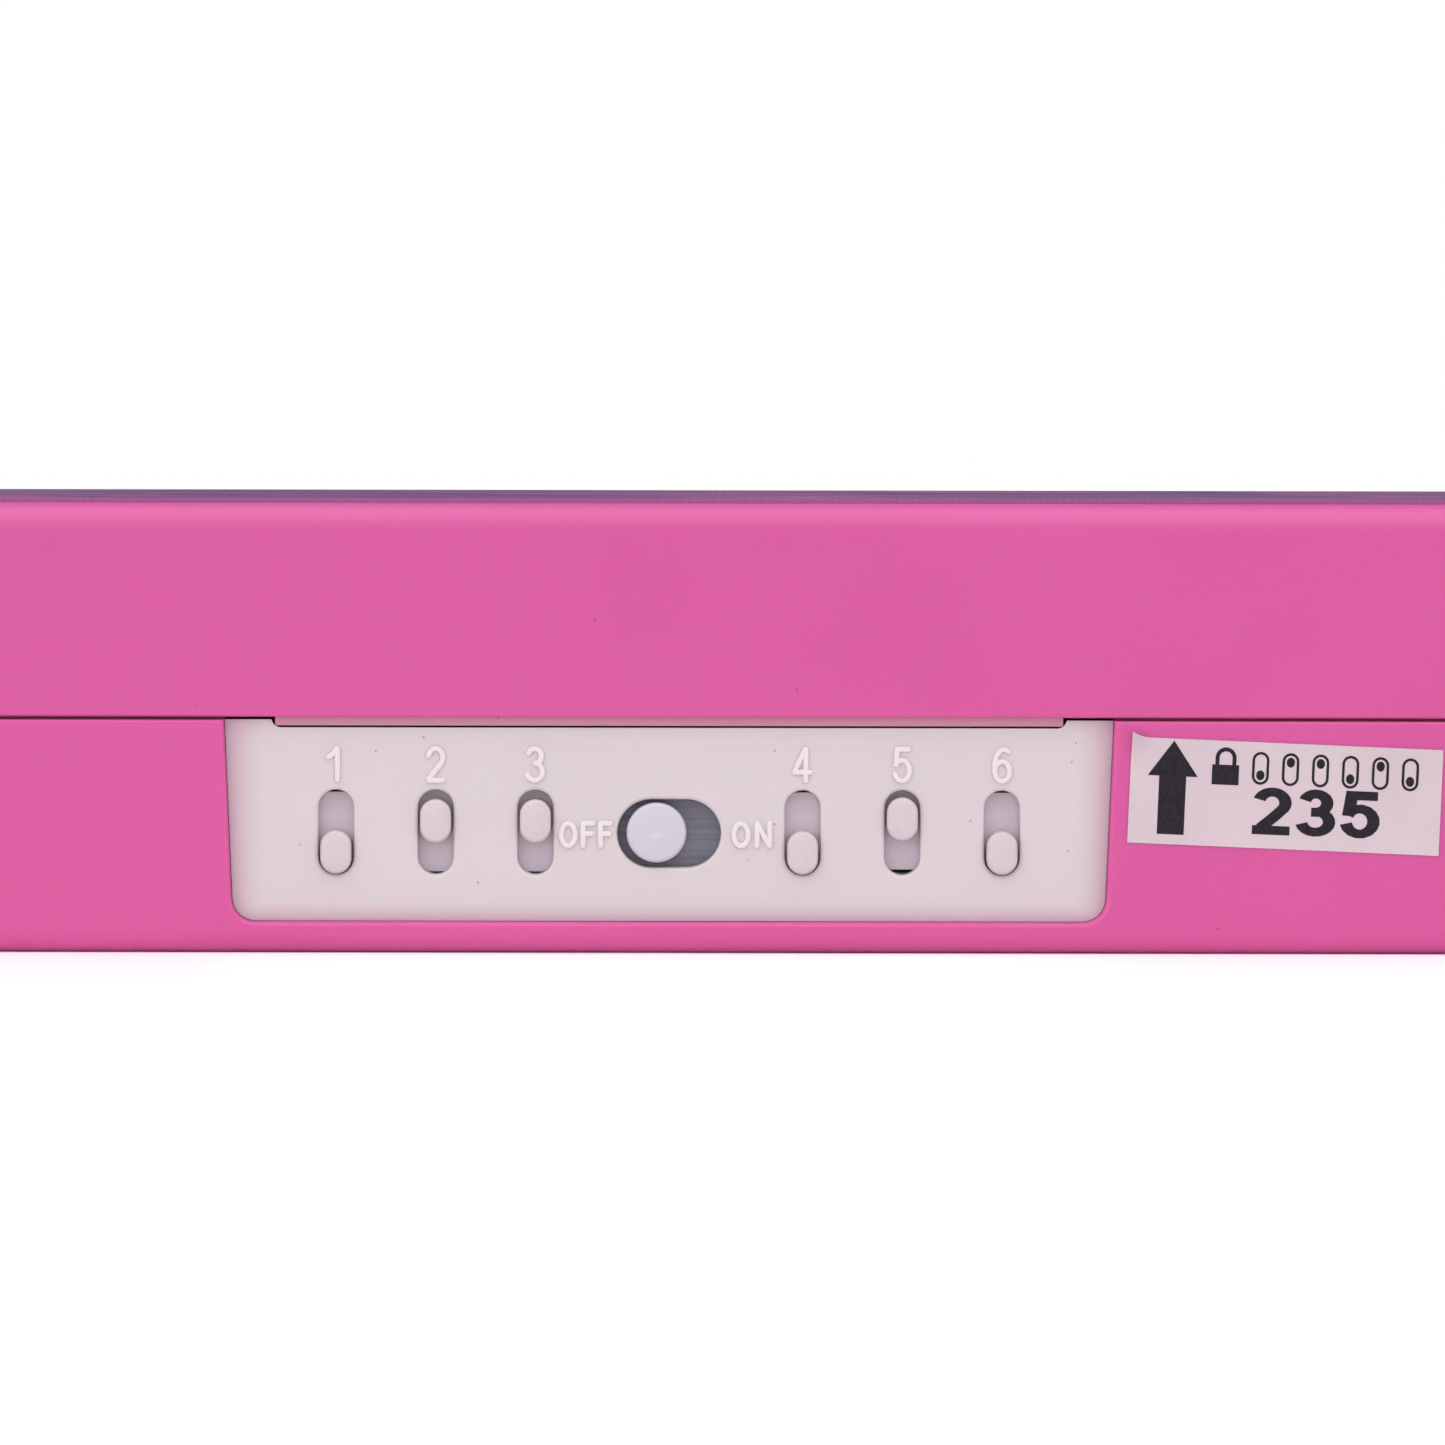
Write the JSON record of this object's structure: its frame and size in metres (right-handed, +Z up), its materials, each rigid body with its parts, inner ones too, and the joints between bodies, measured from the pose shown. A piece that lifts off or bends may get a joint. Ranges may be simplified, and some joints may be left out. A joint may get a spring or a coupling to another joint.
{
  "type": "toy safe coin bank",
  "caption": "Flat rectangular lockable toy safe with a hinged moulded case, a printed cover sheet, a coin slot in the lid and a sliding-knob code lock in the front.",
  "frame": {"origin": "on the ground plane, under the middle of the whole outline with the hinge barrels included", "axes": "+X to the right as seen from the front, front face towards -Y, +Z up"},
  "size_m": [0.21, 0.1556, 0.0456],
  "materials": {
    "pink_plastic": "injection moulded, gloss",
    "printed_sheet": "printed ribbed plastic sheet, gloss",
    "label_paper": "self-adhesive coated paper, satin",
    "white_plastic": "injection moulded, semi-gloss",
    "button_plastic": "injection moulded, semi-gloss, bluish white",
    "dark_plastic": "injection moulded, fine spark texture",
    "spring_steel": "blanked spring strip",
    "screw_steel": "zinc plated",
    "pin_steel": "drawn wire, bright"
  },
  "bodies": {
    "base": {"base_shell": "pink_plastic", "code_label": "label_paper", "lock_face": "white_plastic", "detent_comb": "spring_steel", "lock_back_cover": "white_plastic", "lock_cover_screws": "screw_steel", "hinge_pin_left": "pin_steel", "hinge_pin_right": "pin_steel"},
    "lid": {"lid_shell": "pink_plastic", "cover_sheet": "printed_sheet", "strike_plate": "white_plastic", "strike_screws": "screw_steel"},
    "latch": {"latch_bar": "dark_plastic", "latch_button": "button_plastic"},
    "slider_1": {"code_slider_1": "white_plastic"},
    "slider_2": {"code_slider_2": "white_plastic"},
    "slider_3": {"code_slider_3": "white_plastic"},
    "slider_4": {"code_slider_4": "white_plastic"},
    "slider_5": {"code_slider_5": "white_plastic"},
    "slider_6": {"code_slider_6": "white_plastic"}
  },
  "joints": [
    {"name": "lid_hinge", "type": "hinge", "parent": "base", "child": "lid", "pos_m": [0, 0.07525, 0.02355], "axis": [-1, 0, 0], "range_deg": [0, 180]},
    {"name": "latch_slide", "type": "slide", "parent": "base", "child": "latch", "axis": [1, 0, 0], "range_m": [0, 0.0025]},
    {"name": "slide_1", "type": "slide", "parent": "base", "child": "slider_1", "axis": [0, 0, 1], "range_m": [0, 0.0034]},
    {"name": "slide_2", "type": "slide", "parent": "base", "child": "slider_2", "axis": [0, 0, 1], "range_m": [-0.00315, 0.00025]},
    {"name": "slide_3", "type": "slide", "parent": "base", "child": "slider_3", "axis": [0, 0, 1], "range_m": [-0.00315, 0.00025]},
    {"name": "slide_4", "type": "slide", "parent": "base", "child": "slider_4", "axis": [0, 0, 1], "range_m": [0, 0.0034]},
    {"name": "slide_5", "type": "slide", "parent": "base", "child": "slider_5", "axis": [0, 0, 1], "range_m": [-0.0034, 0]},
    {"name": "slide_6", "type": "slide", "parent": "base", "child": "slider_6", "axis": [0, 0, 1], "range_m": [0, 0.0034]}
  ]
}
